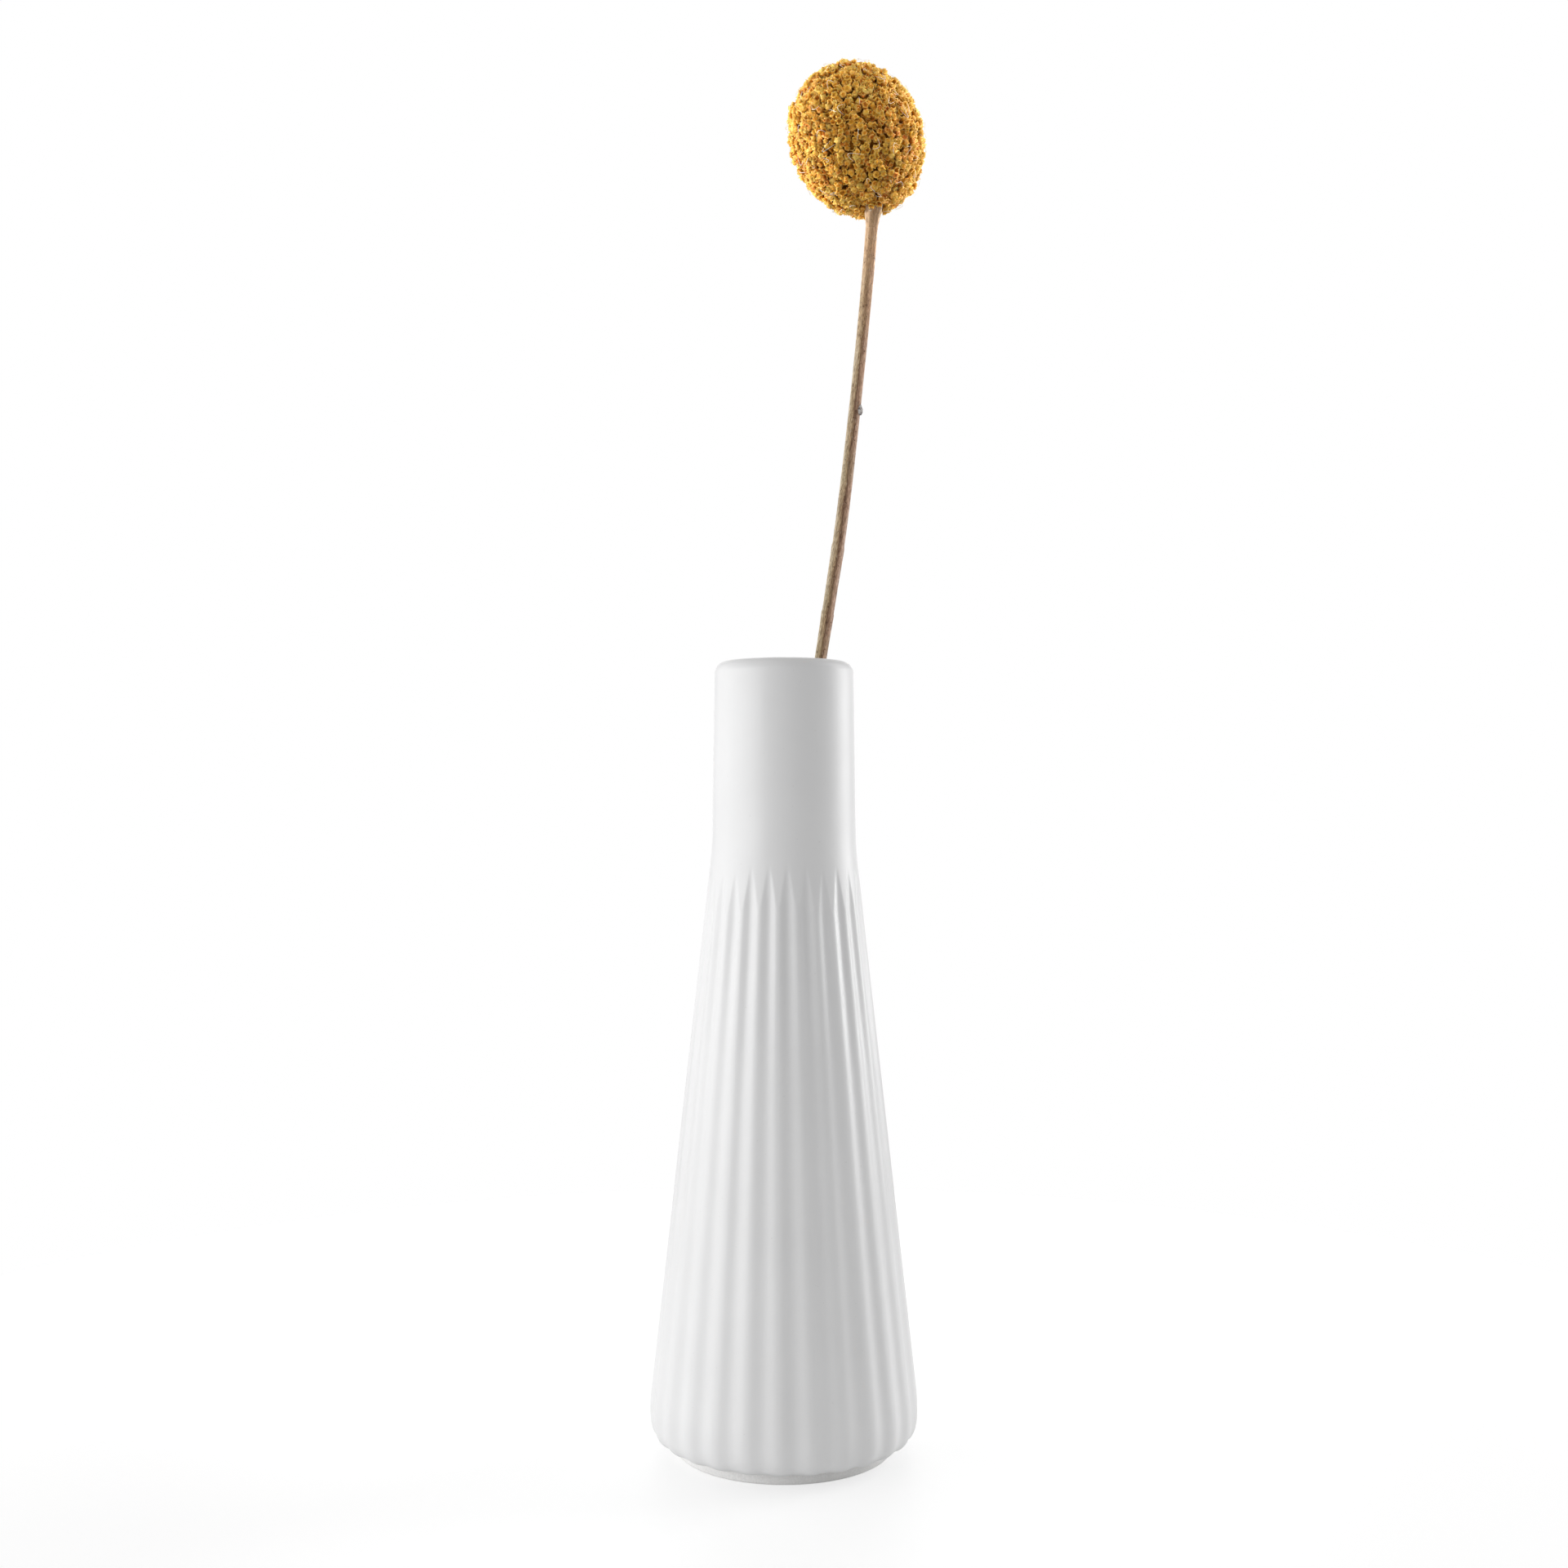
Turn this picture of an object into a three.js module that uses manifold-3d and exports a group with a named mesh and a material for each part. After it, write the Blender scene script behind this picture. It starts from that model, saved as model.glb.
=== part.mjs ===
// A fluted porcelain bud vase with one dried billy-button flower standing in it.
// Units are millimetres. +Z is up, Z is the vase's axis, and the table is the plane z = 0.
// The front is -Y and +X is to the right. The flower leans to the right and a little backwards.
import * as THREE from 'three';
import { mergeVertices } from 'three/addons/utils/BufferGeometryUtils.js';
import Module from 'manifold-3d';

const wasm = await Module();
wasm.setup();

// Driving dimensions of the vase.
const VASE_HEIGHT = 160;
const NECK_RADIUS = 14.2; // just under the rim
const NECK_SPREAD = 0.012; // radius gained per millimetre down the neck
const SHOULDER_Z = 122.4; // where the neck's line meets the body's line
const BODY_SPREAD = 0.1126; // radius gained per millimetre down the body
const SHOULDER_SOFTNESS = 0.1;
const WALL = 5.2;
const RIM_ROUNDING = 2.4;
const MOUTH_ROUNDING = 1.4;

// The base: a curve from the body's side to its underside, a foot ring and a hollow inside the ring.
const BASE_CURVE_TOP_Z = 12.2;
const BASE_CURVE_SIDE_HANDLE = 7;
const BASE_CURVE_UNDERSIDE_HANDLE = 3.6;
const UNDERSIDE_RADIUS = 23.05;
const FOOT_HEIGHT = 2.4;
const FOOT_RADIUS = 22;
const FOOT_RING_WIDTH = 3.6;
const UNDERSIDE_HOLLOW_DEPTH = 1.4;
const FLOOR_Z = 7;
const FLOOR_CORNER_RADIUS = 4;

// The flutes: shallow scoops side by side round the body, which fade out at the neck and the foot.
const FLUTE_COUNT = 27;
const FLUTE_DEPTH = 0.4;
const FLUTE_TOP_Z = 118;
const FLUTE_FULL_DEPTH_Z = 106;
const FIRST_FLUTE_BEARING = THREE.MathUtils.degToRad(4); // from the front towards +X
const COLUMNS_PER_FLUTE = 4;

// The flower's stem: straight up to the bend, then one gentle curve to the head.
const FIT_GAP = 0.3; // the clearance between pieces that touch
const STEM_RADIUS = 1.2;
const STEM_SIDES = 10;
const STEM_STEPS = 36;
const STEM_FOOT_Z = FLOOR_Z + FIT_GAP + 0.3;
const STEM_AT_RIM = new THREE.Vector3(7.32, 2.5, VASE_HEIGHT);
const STEM_LEAN = new THREE.Vector3(0.158, 0, 1);
const BEND_Z = 181.7;
const BEND_HANDLE = 14;
const STEM_TOP = new THREE.Vector3(18.25, 5.7, 251);
const STEM_TOP_LEAN = new THREE.Vector3(0.069, 0.09, 1);
const STEM_TOP_HANDLE = 15;

// The stub of a fallen leaf, lying along the stem's right side.
const LEAF_STUB_HEIGHT = 0.429; // as a share of the stem's curved part
const LEAF_STUB_RADIUS = 0.38;
const LEAF_STUB_LENGTH = 1.9;

// The flower's head: a slightly long ball of florets on the stem's swollen end.
const HEAD_CENTRE = new THREE.Vector3(15.1, 7.4, 269.3);
const HEAD_AXIS = new THREE.Vector3(-0.47, 0.09, 1);
const HEAD_RADIUS = 14.5;
const HEAD_HALF_LENGTH = 16.8;
const FLORET_RELIEF = 0.6;
const HEAD_DETAIL = 4;

const NECK_AXIS_RADIUS = NECK_RADIUS + NECK_SPREAD * (VASE_HEIGHT - SHOULDER_Z);

// The radius of the vase's outside over the ridges: two straight lines joined by a soft corner.
function outerRadius(z) {
  const below = SHOULDER_Z - z;
  const neckLine = NECK_AXIS_RADIUS + NECK_SPREAD * below;
  const bodyLine = NECK_AXIS_RADIUS + BODY_SPREAD * below;
  return (neckLine + bodyLine) / 2 + Math.hypot((bodyLine - neckLine) / 2, SHOULDER_SOFTNESS);
}

// Points along an arc in the profile's plane, with the angles in degrees.
function arcPoints(centreRadius, centreZ, radius, fromDegrees, toDegrees, steps) {
  const points = [];
  for (let step = 0; step <= steps; step += 1) {
    const angle = THREE.MathUtils.degToRad(fromDegrees + ((toDegrees - fromDegrees) * step) / steps);
    points.push(
      new THREE.Vector2(centreRadius + radius * Math.cos(angle), centreZ + radius * Math.sin(angle)),
    );
  }
  return points;
}

// The curve that turns the body's side in to its underside, listed from the bottom up.
function baseCurvePoints() {
  const side = new THREE.Vector2(outerRadius(BASE_CURVE_TOP_Z), BASE_CURVE_TOP_Z);
  const underside = new THREE.Vector2(UNDERSIDE_RADIUS, FOOT_HEIGHT);
  const curve = new THREE.CubicBezierCurve(
    underside,
    new THREE.Vector2(underside.x + BASE_CURVE_UNDERSIDE_HANDLE, underside.y),
    new THREE.Vector2(side.x + BODY_SPREAD * BASE_CURVE_SIDE_HANDLE, side.y - BASE_CURVE_SIDE_HANDLE),
    side,
  );
  return curve.getPoints(4);
}

// The whole section of the vase: underside, outside, rim and inside, from axis to axis.
function vaseProfile() {
  const onOutside = (z) => new THREE.Vector2(outerRadius(z), z);
  const onInside = (z) => new THREE.Vector2(outerRadius(z) - WALL, z);
  const rimZ = VASE_HEIGHT - RIM_ROUNDING;
  const mouthZ = VASE_HEIGHT - MOUTH_ROUNDING;
  const cornerZ = FLOOR_Z + FLOOR_CORNER_RADIUS;
  const cornerRadius = outerRadius(cornerZ) - WALL - FLOOR_CORNER_RADIUS;
  return [
    new THREE.Vector2(0, UNDERSIDE_HOLLOW_DEPTH),
    new THREE.Vector2(FOOT_RADIUS - FOOT_RING_WIDTH - 1, UNDERSIDE_HOLLOW_DEPTH),
    new THREE.Vector2(FOOT_RADIUS - FOOT_RING_WIDTH, 0),
    new THREE.Vector2(FOOT_RADIUS - 0.4, 0),
    new THREE.Vector2(FOOT_RADIUS, FOOT_HEIGHT),
    ...baseCurvePoints(),
    ...[50, 90, 105, 112, 118, 122, 128].map(onOutside),
    ...arcPoints(outerRadius(rimZ) - RIM_ROUNDING, rimZ, RIM_ROUNDING, 0, 90, 3),
    ...arcPoints(outerRadius(mouthZ) - WALL + MOUTH_ROUNDING, mouthZ, MOUTH_ROUNDING, 90, 180, 2),
    ...[128, 118].map(onInside),
    ...arcPoints(cornerRadius, cornerZ, FLOOR_CORNER_RADIUS, 0, -90, 2),
    new THREE.Vector2(0, FLOOR_Z),
  ];
}

// How deep the flutes are at a height, from the foot's top to where they die out under the neck.
function fluteDepth(z) {
  const risen = THREE.MathUtils.smoothstep(z, FOOT_HEIGHT, BASE_CURVE_TOP_Z);
  const faded = THREE.MathUtils.smoothstep(z, FLUTE_FULL_DEPTH_Z, FLUTE_TOP_Z);
  return FLUTE_DEPTH * risen * (1 - faded);
}

// A lathe turned about Z, whose outer surface is then pressed in by the flutes.
// Lathe vertices run column by column, and the columns start in the middle of the first flute.
function vaseGeometry() {
  const profile = vaseProfile();
  const columns = FLUTE_COUNT * COLUMNS_PER_FLUTE;
  const geometry = new THREE.LatheGeometry(profile, columns, FIRST_FLUTE_BEARING);
  geometry.rotateX(Math.PI / 2);
  const position = geometry.attributes.position;
  const rimTopRow = profile.findIndex((point) => point.y >= VASE_HEIGHT);
  for (let index = 0; index < position.count; index += 1) {
    const row = index % profile.length;
    const column = Math.floor(index / profile.length) % columns;
    const point = profile[row];
    if (row > 0 && row < rimTopRow) {
      const inFlute = (1 + Math.cos((2 * Math.PI * column) / COLUMNS_PER_FLUTE)) / 2;
      const shrink = 1 - (fluteDepth(point.y) * inFlute) / point.x;
      position.setX(index, position.getX(index) * shrink);
      position.setY(index, position.getY(index) * shrink);
    }
  }
  return geometry;
}

// The stem's centre line.
function stemPath() {
  const foot = STEM_LEAN.clone().multiplyScalar(STEM_FOOT_Z - VASE_HEIGHT).add(STEM_AT_RIM);
  const bend = STEM_LEAN.clone().multiplyScalar(BEND_Z - VASE_HEIGHT).add(STEM_AT_RIM);
  const bendHandle = STEM_LEAN.clone().setLength(BEND_HANDLE).add(bend);
  const topHandle = STEM_TOP_LEAN.clone().setLength(-STEM_TOP_HANDLE).add(STEM_TOP);
  const path = new THREE.CurvePath();
  path.add(new THREE.LineCurve3(foot, bend));
  path.add(new THREE.CubicBezierCurve3(bend, bendHandle, topHandle, STEM_TOP));
  return path;
}

function stemGeometry() {
  const section = new THREE.Shape();
  for (let side = 0; side < STEM_SIDES; side += 1) {
    const angle = (2 * Math.PI * side) / STEM_SIDES;
    const x = STEM_RADIUS * Math.cos(angle);
    const y = STEM_RADIUS * Math.sin(angle);
    if (side === 0) {
      section.moveTo(x, y);
    } else {
      section.lineTo(x, y);
    }
  }
  return new THREE.ExtrudeGeometry(section, {
    steps: STEM_STEPS,
    bevelEnabled: false,
    extrudePath: stemPath(),
  });
}

// A small bud shape, widest near its lower end, standing along its own Y.
function leafStubGeometry() {
  const profile = [
    new THREE.Vector2(0, 0),
    new THREE.Vector2(LEAF_STUB_RADIUS, 0.3 * LEAF_STUB_LENGTH),
    new THREE.Vector2(0.7 * LEAF_STUB_RADIUS, 0.7 * LEAF_STUB_LENGTH),
    new THREE.Vector2(0, LEAF_STUB_LENGTH),
  ];
  return new THREE.LatheGeometry(profile, 8);
}

// The stem's swollen end, standing along its own Y: a flare below the head and a club inside it.
// With a clearance it is the socket that the florets leave round it.
function receptacleGeometry(clearance) {
  const end = 15.5 + clearance;
  const profile = [
    new THREE.Vector2(0, -clearance),
    new THREE.Vector2(STEM_RADIUS + clearance, -clearance),
    new THREE.Vector2(1.75 + clearance, 4.5),
    new THREE.Vector2(3.2 + clearance, 7),
    new THREE.Vector2(3.4 + clearance, 12),
    new THREE.Vector2(2 + clearance, 14.8 + clearance),
    new THREE.Vector2(0, end),
  ];
  return new THREE.LatheGeometry(profile, 14);
}

// The ball of florets: every corner of a fine ball is a floret's tip, and every face dips between tips.
function floretBallGeometry() {
  const ball = new THREE.IcosahedronGeometry(1, HEAD_DETAIL).attributes.position;
  const inset = 1 - FLORET_RELIEF / HEAD_RADIUS;
  const corners = [];
  for (let first = 0; first < ball.count; first += 3) {
    const tips = [0, 1, 2].map((offset) => new THREE.Vector3().fromBufferAttribute(ball, first + offset));
    const dip = new THREE.Vector3().add(tips[0]).add(tips[1]).add(tips[2]).setLength(inset);
    for (let side = 0; side < 3; side += 1) {
      corners.push(tips[side], tips[(side + 1) % 3], dip);
    }
  }
  const geometry = new THREE.BufferGeometry().setFromPoints(corners);
  return geometry.scale(HEAD_RADIUS, HEAD_HALF_LENGTH, HEAD_RADIUS);
}

// A closed geometry as a solid, in the frame of the matrix given.
function solidOf(geometry, matrix) {
  const bare = geometry.index ? geometry.toNonIndexed() : geometry.clone();
  bare.deleteAttribute('normal');
  bare.deleteAttribute('uv');
  const merged = mergeVertices(bare.applyMatrix4(matrix), 1e-4);
  return new wasm.Manifold(
    new wasm.Mesh({
      numProp: 3,
      vertProperties: merged.attributes.position.array,
      triVerts: new Uint32Array(merged.index.array),
    }),
  );
}

function geometryOf(solid) {
  const mesh = solid.getMesh();
  const geometry = new THREE.BufferGeometry();
  geometry.setAttribute('position', new THREE.BufferAttribute(mesh.vertProperties, 3));
  geometry.setIndex(new THREE.BufferAttribute(mesh.triVerts, 1));
  geometry.computeVertexNormals();
  return geometry;
}

// The place of a piece that stands along its own Y at a point, facing a direction.
function standingAt(point, direction) {
  const turn = new THREE.Quaternion().setFromUnitVectors(
    new THREE.Vector3(0, 1, 0),
    direction.clone().normalize(),
  );
  return new THREE.Matrix4().compose(point, turn, new THREE.Vector3(1, 1, 1));
}

function makeMaterial(color, roughness) {
  return new THREE.MeshStandardMaterial({ color, roughness, metalness: 0 });
}

const porcelain = makeMaterial(0xf2f2f0, 0.45);
const driedStem = makeMaterial(0x9a8468, 0.85);
const driedLeaf = makeMaterial(0x9c9690, 0.9);
const receptaclePith = makeMaterial(0xb08f6a, 0.85);
const florets = makeMaterial(0xc8963c, 0.8);

// The vase.
const vaseBody = new THREE.Mesh(vaseGeometry(), porcelain);
vaseBody.name = 'vase_body';

// The stem, with the leaf stub beside it.
const flowerStem = new THREE.Mesh(stemGeometry(), driedStem);
flowerStem.name = 'flower_stem';

const leafStub = new THREE.Mesh(leafStubGeometry(), driedLeaf);
leafStub.name = 'leaf_stub';
const stemCurve = stemPath().curves[1];
const stubPoint = stemCurve.getPointAt(LEAF_STUB_HEIGHT);
stubPoint.x += STEM_RADIUS + FIT_GAP + LEAF_STUB_RADIUS;
leafStub.applyMatrix4(standingAt(stubPoint, stemCurve.getTangentAt(LEAF_STUB_HEIGHT)));

// The receptacle, a clearance above the stem's cut end, and the florets round it.
const flowerReceptacle = new THREE.Mesh(receptacleGeometry(0), receptaclePith);
flowerReceptacle.name = 'flower_receptacle';
const receptaclePoint = STEM_TOP_LEAN.clone().setLength(FIT_GAP).add(STEM_TOP);
const receptaclePlace = standingAt(receptaclePoint, STEM_TOP_LEAN);
flowerReceptacle.applyMatrix4(receptaclePlace);

const ball = solidOf(floretBallGeometry(), standingAt(HEAD_CENTRE, HEAD_AXIS));
const socket = solidOf(receptacleGeometry(FIT_GAP), receptaclePlace);
const floretHead = new THREE.Mesh(geometryOf(ball.subtract(socket)), florets);
floretHead.name = 'floret_head';

const flower = new THREE.Group();
flower.add(flowerStem, leafStub, flowerReceptacle, floretHead);

const budVase = new THREE.Group();
budVase.add(vaseBody, flower);

export default budVase;
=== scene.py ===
"""A fluted porcelain bud vase with one dried billy-button flower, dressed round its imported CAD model.

Shapes are worked out in millimetres, and new_piece turns them into metres in the CAD's frame:
+Z is up, the vase's axis is Z, the front is -Y and the floor is z = 0.
"""

import functools
import math

import bpy
import numpy as np
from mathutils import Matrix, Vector


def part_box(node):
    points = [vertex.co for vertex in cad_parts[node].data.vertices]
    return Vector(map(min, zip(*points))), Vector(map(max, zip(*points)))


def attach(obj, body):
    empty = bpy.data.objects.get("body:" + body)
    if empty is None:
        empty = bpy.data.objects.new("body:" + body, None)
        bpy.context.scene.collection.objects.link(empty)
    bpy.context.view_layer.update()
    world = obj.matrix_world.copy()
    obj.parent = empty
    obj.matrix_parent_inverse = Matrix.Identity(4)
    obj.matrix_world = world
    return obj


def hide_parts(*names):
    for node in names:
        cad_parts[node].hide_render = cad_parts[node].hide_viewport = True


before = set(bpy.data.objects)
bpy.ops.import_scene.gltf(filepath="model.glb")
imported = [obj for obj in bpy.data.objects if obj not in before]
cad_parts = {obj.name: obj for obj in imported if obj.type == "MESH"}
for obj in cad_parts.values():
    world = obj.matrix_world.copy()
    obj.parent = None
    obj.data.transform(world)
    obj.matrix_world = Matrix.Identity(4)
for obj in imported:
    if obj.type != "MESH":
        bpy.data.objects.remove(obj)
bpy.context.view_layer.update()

MM = 0.001
SEED = 27

# ---------------------------------------------------------------- sizes, in millimetres

# The vase's outline. The radii are measured over the ridges between the flutes.
VASE_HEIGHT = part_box("vase_body")[1].z / MM
SHOULDER_Z = 122.4  # where the neck's line meets the body's line
SHOULDER_RADIUS = 14.62
NECK_SPREAD = 0.012  # radius gained per millimetre down the neck
BODY_SPREAD = 0.1126  # radius gained per millimetre down the body
SHOULDER_SOFTNESS = 0.1
WALL = 5.2
RIM_ROUNDING = 2.4
MOUTH_ROUNDING = 1.4
BASE_CURVE_TOP_Z = 12.2
BASE_CURVE_SIDE_HANDLE = 7
BASE_CURVE_UNDERSIDE_HANDLE = 3.6
UNDERSIDE_RADIUS = 23.05
FOOT_HEIGHT = 2.4
FOOT_RADIUS = 22
FOOT_RING_WIDTH = 3.6
FOOT_ROUNDING = 0.5
UNDERSIDE_HOLLOW_DEPTH = 1.4
FLOOR_Z = 7
FLOOR_CORNER_RADIUS = 4

# The flutes: rounded hollows between rounded ridges, steeper near the neck and a little wider at the front.
# FLUTE_SLOPES gives the steepest slope across a flute at some heights.
FLUTE_COUNT = 27
COLUMNS_PER_FLUTE = 20
FIRST_FLUTE_BEARING = math.radians(4.8)  # the middle of one flute, from the front towards +X
FLUTE_TWIST = math.radians(-0.021)  # how far the flutes turn for each millimetre upwards
FRONT_STRETCH = 0.026  # how much wider the flutes are at the front, and narrower at the back
FLUTE_SLOPES = ((0, 0.23), (55, 0.23), (78, 0.24), (100, 0.4))
FLUTE_TOP_Z = 118
FLUTE_FULL_Z = 110
FLUTE_EDGE = 0.05  # how softly a flute's edge breaks, as a share of its depth
FLUTE_DEPTH_AT_FOOT = 0.6  # as a share of the depth above it
FLUTE_FOOT_FADE_Z = 9

# The flower's head: florets on an ellipsoid, gathered in small domed clusters, over a ball of pith.
HEAD_AXIS = Vector((-0.47, 0.09, 1)).normalized()
HEAD_RADIUS = 14.35
HEAD_HALF_LENGTH = 16.65
FLORET_SPACING = 1.12
CLUSTER_SPACING = 3.7
CLUSTER_SINK = 0.78  # how far the florets at a cluster's edge sit below its middle
FLORET_RADIUS = 0.67
FLORET_HEIGHT = 1.7
FLORET_SIDES = 10
FLORET_CRUMPLE = 0.07
HEAD_TIERS = 16
STEM_CLEARANCE = 2.1  # the florets keep this far from the stem's line
FLORET_SINK = 0.75  # how much deeper than its place a floret may sit
MOSTLY_CLOSED = 2.2  # a higher power gives more closed buds and fewer open cups
PITH_DEPTH = 2.1
PITH_ROWS = 62
PITH_COLUMNS = 96
HAIR_COUNT = 130
HAIR_RADIUS = 0.05
HAIR_SIDES = 5
HAIR_RINGS = 9

STEM_RADIUS = 1.2
STEM_SIDES = 32
STEM_RING_SPACING = 0.6
FIBRE_REPEAT = 12  # how much longer the streaks are along the stem than across it
STEM_JOINTS = (184.3, 170.6)  # heights of the scars of two old leaves
STEM_JOINT_SWELLING = 0.13

# The receptacle's outline: distances past the stem's end, and the radius at each.
RECEPTACLE_OUTLINE = (
    (-0.8, 1.21), (0, 1.24), (1.5, 1.45), (3.2, 1.75), (5, 1.95), (7.5, 2.6), (12, 2.9), (14.5, 1.2),
)
RECEPTACLE_RINGS = 52
RECEPTACLE_FIBRE_START = 240  # where its streaks carry on from, along the stem

LEAF_BEARING = math.radians(-28)  # the scale's middle, round the stem from +X, a little to the front
LEAF_HALF_WIDTH = math.radians(28)
LEAF_HALF_THICKNESS = 0.36
LEAF_HALF_LENGTH = 1.15


# ---------------------------------------------------------------- meshes

def new_piece(name, points, faces, material, body, replaced, attributes=None):
    """Makes a smooth piece from points in millimetres, with its node attributes, riding on a CAD body."""
    mesh = bpy.data.meshes.new(name)
    mesh.from_pydata((np.asarray(points) * MM).tolist(), [], faces)
    mesh.shade_smooth()
    for key, values in (attributes or {}).items():
        is_vector = np.ndim(values) == 2
        attribute = mesh.attributes.new(key, "FLOAT_VECTOR" if is_vector else "FLOAT", "POINT")
        attribute.data.foreach_set("vector" if is_vector else "value", np.float32(values).ravel())
    mesh.materials.append(material)
    piece = bpy.data.objects.new(name, mesh)
    bpy.context.scene.collection.objects.link(piece)
    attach(piece, body)
    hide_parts(replaced)
    return piece


def skin(rows, columns):
    """Faces over rows of points that run round an axis, with one pole point before them and one after."""
    last = 1 + rows * columns
    faces = []
    for column in range(columns):
        after = (column + 1) % columns
        faces.append((0, 1 + after, 1 + column))
        for row in range(rows - 1):
            low = 1 + row * columns
            high = low + columns
            faces.append((low + column, low + after, high + after, high + column))
        faces.append((last, last - columns + column, last - columns + after))
    return faces


def arc(centre_radius, centre_z, radius, start, end, steps):
    """Points of an outline along an arc, with the angles in degrees."""
    angles = np.radians(np.linspace(start, end, steps + 1))
    return np.column_stack([centre_radius + radius * np.cos(angles), centre_z + radius * np.sin(angles)])


def bezier(start, start_handle, end_handle, end, steps):
    """Points of an outline along a cubic curve."""
    t = np.linspace(0, 1, steps + 1)[:, None]
    corners = [np.array(corner, float) for corner in (start, start_handle, end_handle, end)]
    weights = [(1 - t) ** 3, 3 * t * (1 - t) ** 2, 3 * t**2 * (1 - t), t**3]
    return sum(weight * corner for weight, corner in zip(weights, corners))


def smooth_step(low, high, value):
    t = np.clip((value - low) / (high - low), 0, 1)
    return t * t * (3 - 2 * t)


# ---------------------------------------------------------------- the vase

def outer_radius(z):
    """The vase's outside over the ridges: two straight lines joined by a soft corner."""
    below = SHOULDER_Z - z
    neck_line = SHOULDER_RADIUS + NECK_SPREAD * below
    body_line = SHOULDER_RADIUS + BODY_SPREAD * below
    return (neck_line + body_line) / 2 + np.hypot((body_line - neck_line) / 2, SHOULDER_SOFTNESS)


def upright(heights, inset=0.0):
    """Points of an outline up or down the vase's wall."""
    heights = np.asarray(heights, float)
    return np.column_stack([outer_radius(heights) - inset, heights])


def foot_outline():
    """The underside, from near the axis out to the foot's side."""
    inner = FOOT_RADIUS - FOOT_RING_WIDTH
    return np.vstack([
        [[6, UNDERSIDE_HOLLOW_DEPTH], [13, UNDERSIDE_HOLLOW_DEPTH]],
        arc(inner - 1.5, UNDERSIDE_HOLLOW_DEPTH - 0.7, 0.7, 90, 30, 4),
        arc(inner + FOOT_ROUNDING, FOOT_ROUNDING, FOOT_ROUNDING, 200, 270, 4),
        [[FOOT_RADIUS - FOOT_RING_WIDTH / 2, 0]],
        arc(FOOT_RADIUS - FOOT_ROUNDING, FOOT_ROUNDING, FOOT_ROUNDING, -90, 0, 5),
        [[FOOT_RADIUS, 1.2], [FOOT_RADIUS, FOOT_HEIGHT - 0.35]],
        [[FOOT_RADIUS + 0.12, FOOT_HEIGHT - 0.1], [FOOT_RADIUS + 0.4, FOOT_HEIGHT]],
    ])


def fluted_outline():
    """The part of the outline that the flutes press into: the base's curve and the body up to the neck."""
    side = (outer_radius(BASE_CURVE_TOP_Z), BASE_CURVE_TOP_Z)
    base_curve = bezier(
        (UNDERSIDE_RADIUS, FOOT_HEIGHT),
        (UNDERSIDE_RADIUS + BASE_CURVE_UNDERSIDE_HANDLE, FOOT_HEIGHT),
        (side[0] + BODY_SPREAD * BASE_CURVE_SIDE_HANDLE, side[1] - BASE_CURVE_SIDE_HANDLE),
        side,
        22,
    )
    return np.vstack([
        base_curve,
        upright(np.linspace(BASE_CURVE_TOP_Z, FLUTE_FULL_Z - 4, 42)[1:]),
        upright(np.linspace(FLUTE_FULL_Z - 4, FLUTE_TOP_Z + 3, 38)[1:]),
    ])


def neck_and_inside_outline():
    """The rest of the outline: the neck, the rim, and the inside down to the floor."""
    rim_z = VASE_HEIGHT - RIM_ROUNDING
    mouth_z = VASE_HEIGHT - MOUTH_ROUNDING
    corner_z = FLOOR_Z + FLOOR_CORNER_RADIUS
    corner_radius = outer_radius(corner_z) - WALL - FLOOR_CORNER_RADIUS
    return np.vstack([
        upright([123, 124.5, 127, 132, 140, 148, 154]),
        arc(outer_radius(rim_z) - RIM_ROUNDING, rim_z, RIM_ROUNDING, 0, 90, 10),
        arc(outer_radius(mouth_z) - WALL + MOUTH_ROUNDING, mouth_z, MOUTH_ROUNDING, 90, 180, 7),
        upright([155, 148, 135, 126, 122, 118, 105, 85, 65, 45, 28, 15], WALL),
        arc(corner_radius, corner_z, FLOOR_CORNER_RADIUS, 0, -90, 7),
        [[12, FLOOR_Z], [5, FLOOR_Z]],
    ])


def flute_dents(heights, across):
    """How deep the flutes press in, for each row and column. Across runs from -1 to 1 over a flute."""
    rng = np.random.default_rng(SEED)
    depth_of_flute = np.repeat(rng.uniform(0.93, 1.07, FLUTE_COUNT), COLUMNS_PER_FLUTE)
    top_of_flute = FLUTE_TOP_Z + np.repeat(rng.uniform(-0.8, 0.8, FLUTE_COUNT), COLUMNS_PER_FLUTE)
    z = np.asarray(heights)[:, None]
    pitch = 2 * np.pi * outer_radius(z) / FLUTE_COUNT
    slope = np.interp(z, *zip(*FLUTE_SLOPES))
    at_foot = FLUTE_DEPTH_AT_FOOT + (1 - FLUTE_DEPTH_AT_FOOT) * smooth_step(FOOT_HEIGHT, FLUTE_FOOT_FADE_Z, z)
    reach = np.clip((top_of_flute - z) / (FLUTE_TOP_Z - FLUTE_FULL_Z), -1, 1)
    hollow = reach - (1 - np.cos(np.pi * across)) / 2
    soft_hollow = FLUTE_EDGE * np.logaddexp(0, hollow / FLUTE_EDGE)
    return depth_of_flute * at_foot * slope * pitch / np.pi * soft_hollow


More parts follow.
